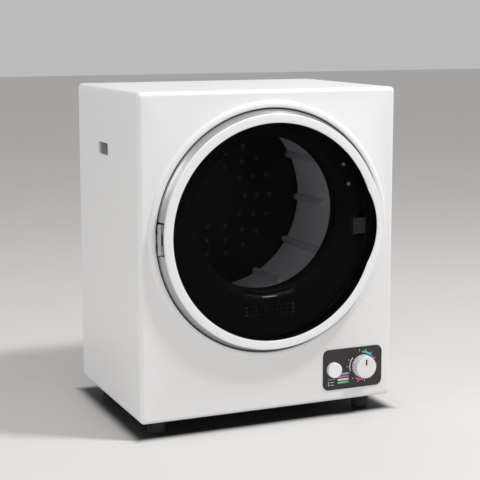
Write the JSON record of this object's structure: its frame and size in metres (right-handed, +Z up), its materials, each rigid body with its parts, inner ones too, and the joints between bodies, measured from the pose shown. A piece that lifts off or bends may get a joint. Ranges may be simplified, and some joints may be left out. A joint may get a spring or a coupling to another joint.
{
  "type": "clothes dryer",
  "caption": "Compact front-loading vented clothes dryer with a round smoked-window door, turning drum, timer knob, rear exhaust spigot and rubber feet.",
  "frame": {"origin": "on the floor under the centre of the overall box", "axes": "+X to the viewer's right, the door faces -Y, +Z up"},
  "size_m": [0.4924, 0.405, 0.6],
  "materials": {
    "white_enamel": "smooth white enamel on steel sheet",
    "galvanised": "galvanised steel sheet",
    "white_gloss": "white moulded plastic, polished",
    "white_satin": "white moulded plastic, satin",
    "silver_trim": "satin silver trim band",
    "black_moulding": "black moulded plastic, fine grain",
    "smoked_window": "smoked clear acrylic, gloss",
    "drum_steel": "grey enamelled drum",
    "lifter_grey": "grey moulded plastic",
    "shaft_steel": "turned steel",
    "bronze_bush": "sintered bronze",
    "felt": "pressed wool felt",
    "rubber_black": "black rubber",
    "belt_rubber": "ribbed black belt rubber",
    "grey_plastic": "grey moulded plastic",
    "screen_mesh": "woven nylon mesh",
    "screw_zinc": "zinc-plated screws",
    "control_dark": "dark printed overlay",
    "heater_ceramic": "ceramic heater block",
    "glide_white": "low-friction white pads"
  },
  "bodies": {
    "cabinet": {"cabinet_wrap": "white_enamel", "front_panel": "white_enamel", "base_pan": "galvanised", "back_panel": "galvanised", "feet": "rubber_black", "handle_left": "white_satin", "handle_right": "white_satin", "front_bulkhead": "black_moulding", "bulkhead_screws": "screw_zinc", "front_felt_seal": "felt", "drum_glides": "glide_white", "rear_felt_seal": "felt", "rear_bulkhead": "galvanised", "bearing_housing": "galvanised", "drum_bearing": "bronze_bush", "heater_housing": "galvanised", "heater_element": "heater_ceramic", "thermostats": "shaft_steel", "blower_housing": "grey_plastic", "lint_duct": "grey_plastic", "motor_housing": "shaft_steel", "motor_cradle": "galvanised", "drive_belt": "belt_rubber", "idler_bracket": "galvanised", "exhaust_pipe": "grey_plastic", "exhaust_spigot": "white_satin", "spigot_flange": "white_satin", "rear_screws": "screw_zinc", "cord_gland": "rubber_black", "terminal_block": "white_satin", "motor_capacitor": "white_satin", "control_plate": "control_dark", "control_bezel": "white_gloss", "timer_body": "grey_plastic", "mode_switch": "black_moulding", "hinge_bracket": "shaft_steel", "hinge_pin": "shaft_steel", "switch_box": "black_moulding"},
    "door": {"door_ring": "white_gloss", "door_band": "silver_trim", "door_frame": "black_moulding", "door_window": "smoked_window", "door_hinge": "shaft_steel", "door_latch": "black_moulding"},
    "drum": {"drum_shell": "drum_steel", "long_lifters": "lifter_grey", "short_lifters": "lifter_grey", "drum_hub": "shaft_steel"},
    "rotor": {"motor_rotor": "shaft_steel", "motor_pulley": "shaft_steel", "blower_impeller": "grey_plastic"},
    "idler_arm_body": {"idler_arm": "galvanised", "idler_spring": "shaft_steel"},
    "idler_wheel": {"idler_pulley": "grey_plastic"},
    "timer": {"timer_knob": "white_satin", "timer_shaft": "shaft_steel"},
    "button": {"mode_button": "white_gloss"},
    "filter": {"lint_filter_frame": "grey_plastic", "lint_filter_screen": "screen_mesh"},
    "plunger": {"switch_plunger": "white_satin"}
  },
  "joints": [
    {"name": "door_swing", "type": "hinge", "parent": "cabinet", "child": "door", "pos_m": [-0.213, -0.192, 0.352], "axis": [0, 0, -1], "range_deg": [0, 115]},
    {"name": "drum_spin", "type": "hinge", "parent": "cabinet", "child": "drum", "pos_m": [0, 0, 0.38], "axis": [0, 1, 0], "continuous": true},
    {"name": "motor_spin", "type": "hinge", "parent": "cabinet", "child": "rotor", "pos_m": [-0.04, 0, 0.104], "axis": [0, 1, 0], "continuous": true},
    {"name": "idler_swing", "type": "hinge", "parent": "cabinet", "child": "idler_arm_body", "pos_m": [-0.014, 0.0205, 0.076], "axis": [0, -1, 0], "range_deg": [0, 8], "stiffness_Nm_per_rad": 1.5, "springref_deg": -17.19},
    {"name": "idler_spin", "type": "hinge", "parent": "idler_arm_body", "child": "idler_wheel", "pos_m": [0.025, 0.012, 0.115], "axis": [0, 1, 0], "continuous": true},
    {"name": "timer_turn", "type": "hinge", "parent": "cabinet", "child": "timer", "pos_m": [0.1835, -0.19, 0.09], "axis": [0, 1, 0], "range_deg": [0, 330]},
    {"name": "mode_press", "type": "slide", "parent": "cabinet", "child": "button", "axis": [0, 1, 0], "range_m": [0, 0.004], "stiffness_N_per_m": 400, "springref_m": -0.002},
    {"name": "filter_lift", "type": "slide", "parent": "cabinet", "child": "filter", "axis": [0, 0, 1], "range_m": [0, 0.055]},
    {"name": "plunger_follow", "type": "slide", "parent": "cabinet", "child": "plunger", "axis": [0, -1, 0], "range_m": [0, 0.003]}
  ],
  "couplings": [
    {"joint": "motor_spin", "follows": "drum_spin", "ratio": 19.133},
    {"joint": "idler_spin", "follows": "drum_spin", "ratio": 11.48},
    {"joint": "plunger_follow", "follows": "door_swing", "m_per_rad": 0.0014448}
  ]
}
